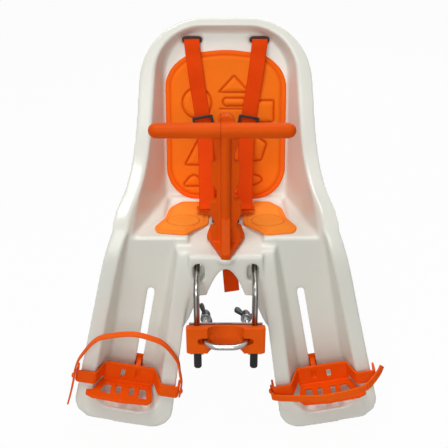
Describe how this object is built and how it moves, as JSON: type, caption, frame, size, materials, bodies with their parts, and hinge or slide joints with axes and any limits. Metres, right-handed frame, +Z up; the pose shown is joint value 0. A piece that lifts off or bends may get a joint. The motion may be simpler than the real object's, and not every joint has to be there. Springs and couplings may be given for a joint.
{
  "type": "child bike seat",
  "caption": "Front-mount child bike seat: moulded bucket shell with leg guards, foam pads, T-shaped grab handle, harness, sliding footrests with straps and a stem clamp.",
  "frame": {"origin": "on the axis of the stem groove, at mid height of the clamp block", "axes": "+Z up along the stem, +Y from the stem back to the seat, +X across"},
  "size_m": [0.4495, 0.28, 0.5416],
  "materials": {
    "shell_white": "moulded gloss",
    "pad_orange": "closed-cell foam",
    "orange_gloss": "moulded gloss",
    "orange_soft": "soft moulded",
    "webbing": "woven",
    "black_plastic": "fine grain",
    "button_red": "moulded gloss",
    "chrome": "bright plated",
    "zinc_steel": "zinc plated",
    "dark_steel": "black zinc"
  },
  "bodies": {
    "seat": {"seat_shell": "shell_white", "back_pad": "pad_orange", "seat_pad": "pad_orange", "handle": "orange_gloss", "handle_bolt_front": "zinc_steel", "handle_bolt_rear": "zinc_steel", "support_bar": "chrome", "clamp_block": "orange_gloss", "clamp_plate": "zinc_steel", "buckle_body": "black_plastic", "crotch_strap": "webbing", "bar_clip_left": "black_plastic", "bar_clip_right": "black_plastic", "clip_bolt_left": "zinc_steel", "clip_bolt_right": "zinc_steel", "rod_sleeve_left": "black_plastic", "rod_sleeve_right": "black_plastic", "rod_bolt_left": "zinc_steel", "rod_bolt_right": "zinc_steel", "rod_nut_left": "zinc_steel", "rod_nut_right": "zinc_steel", "shoulder_strap_left": "webbing", "shoulder_strap_right": "webbing", "strap_keeper_left": "black_plastic", "strap_keeper_right": "black_plastic", "strap_adjuster_left": "black_plastic", "strap_adjuster_right": "black_plastic", "buckle_tongue_left": "black_plastic", "buckle_tongue_right": "black_plastic"},
    "footrest_left": {"footrest_left": "orange_gloss", "footrest_keeper_left": "black_plastic", "keeper_screw_left": "zinc_steel", "foot_strap_left": "orange_soft"},
    "footrest_right": {"footrest_right": "orange_gloss", "footrest_keeper_right": "black_plastic", "keeper_screw_right": "zinc_steel", "foot_strap_right": "orange_soft"},
    "u_bolt": {"u_bolt": "chrome", "washer_left": "zinc_steel", "washer_right": "zinc_steel"},
    "wing_nut_left": {"wing_nut_left": "dark_steel"},
    "wing_nut_right": {"wing_nut_right": "dark_steel"},
    "buckle_button": {"buckle_button": "button_red"}
  },
  "joints": [
    {"name": "footrest_left_slide", "type": "slide", "parent": "seat", "child": "footrest_left", "axis": [0.1908, 0, 0.9816], "range_m": [0, 0.055]},
    {"name": "footrest_right_slide", "type": "slide", "parent": "seat", "child": "footrest_right", "axis": [-0.1908, 0, 0.9816], "range_m": [0, 0.055]},
    {"name": "u_bolt_slide", "type": "slide", "parent": "seat", "child": "u_bolt", "axis": [0, -1, 0], "range_m": [0, 0.028]},
    {"name": "wing_nut_left_turn", "type": "hinge", "parent": "u_bolt", "child": "wing_nut_left", "pos_m": [-0.028, 0.07, 0], "axis": [0, 1, 0], "continuous": true},
    {"name": "wing_nut_right_turn", "type": "hinge", "parent": "u_bolt", "child": "wing_nut_right", "pos_m": [0.028, 0.07, 0], "axis": [0, 1, 0], "continuous": true},
    {"name": "buckle_button_press", "type": "slide", "parent": "seat", "child": "buckle_button", "axis": [0, 0, -1], "range_m": [0, 0.0025], "stiffness_N_per_m": 300, "springref_m": -0.003}
  ]
}
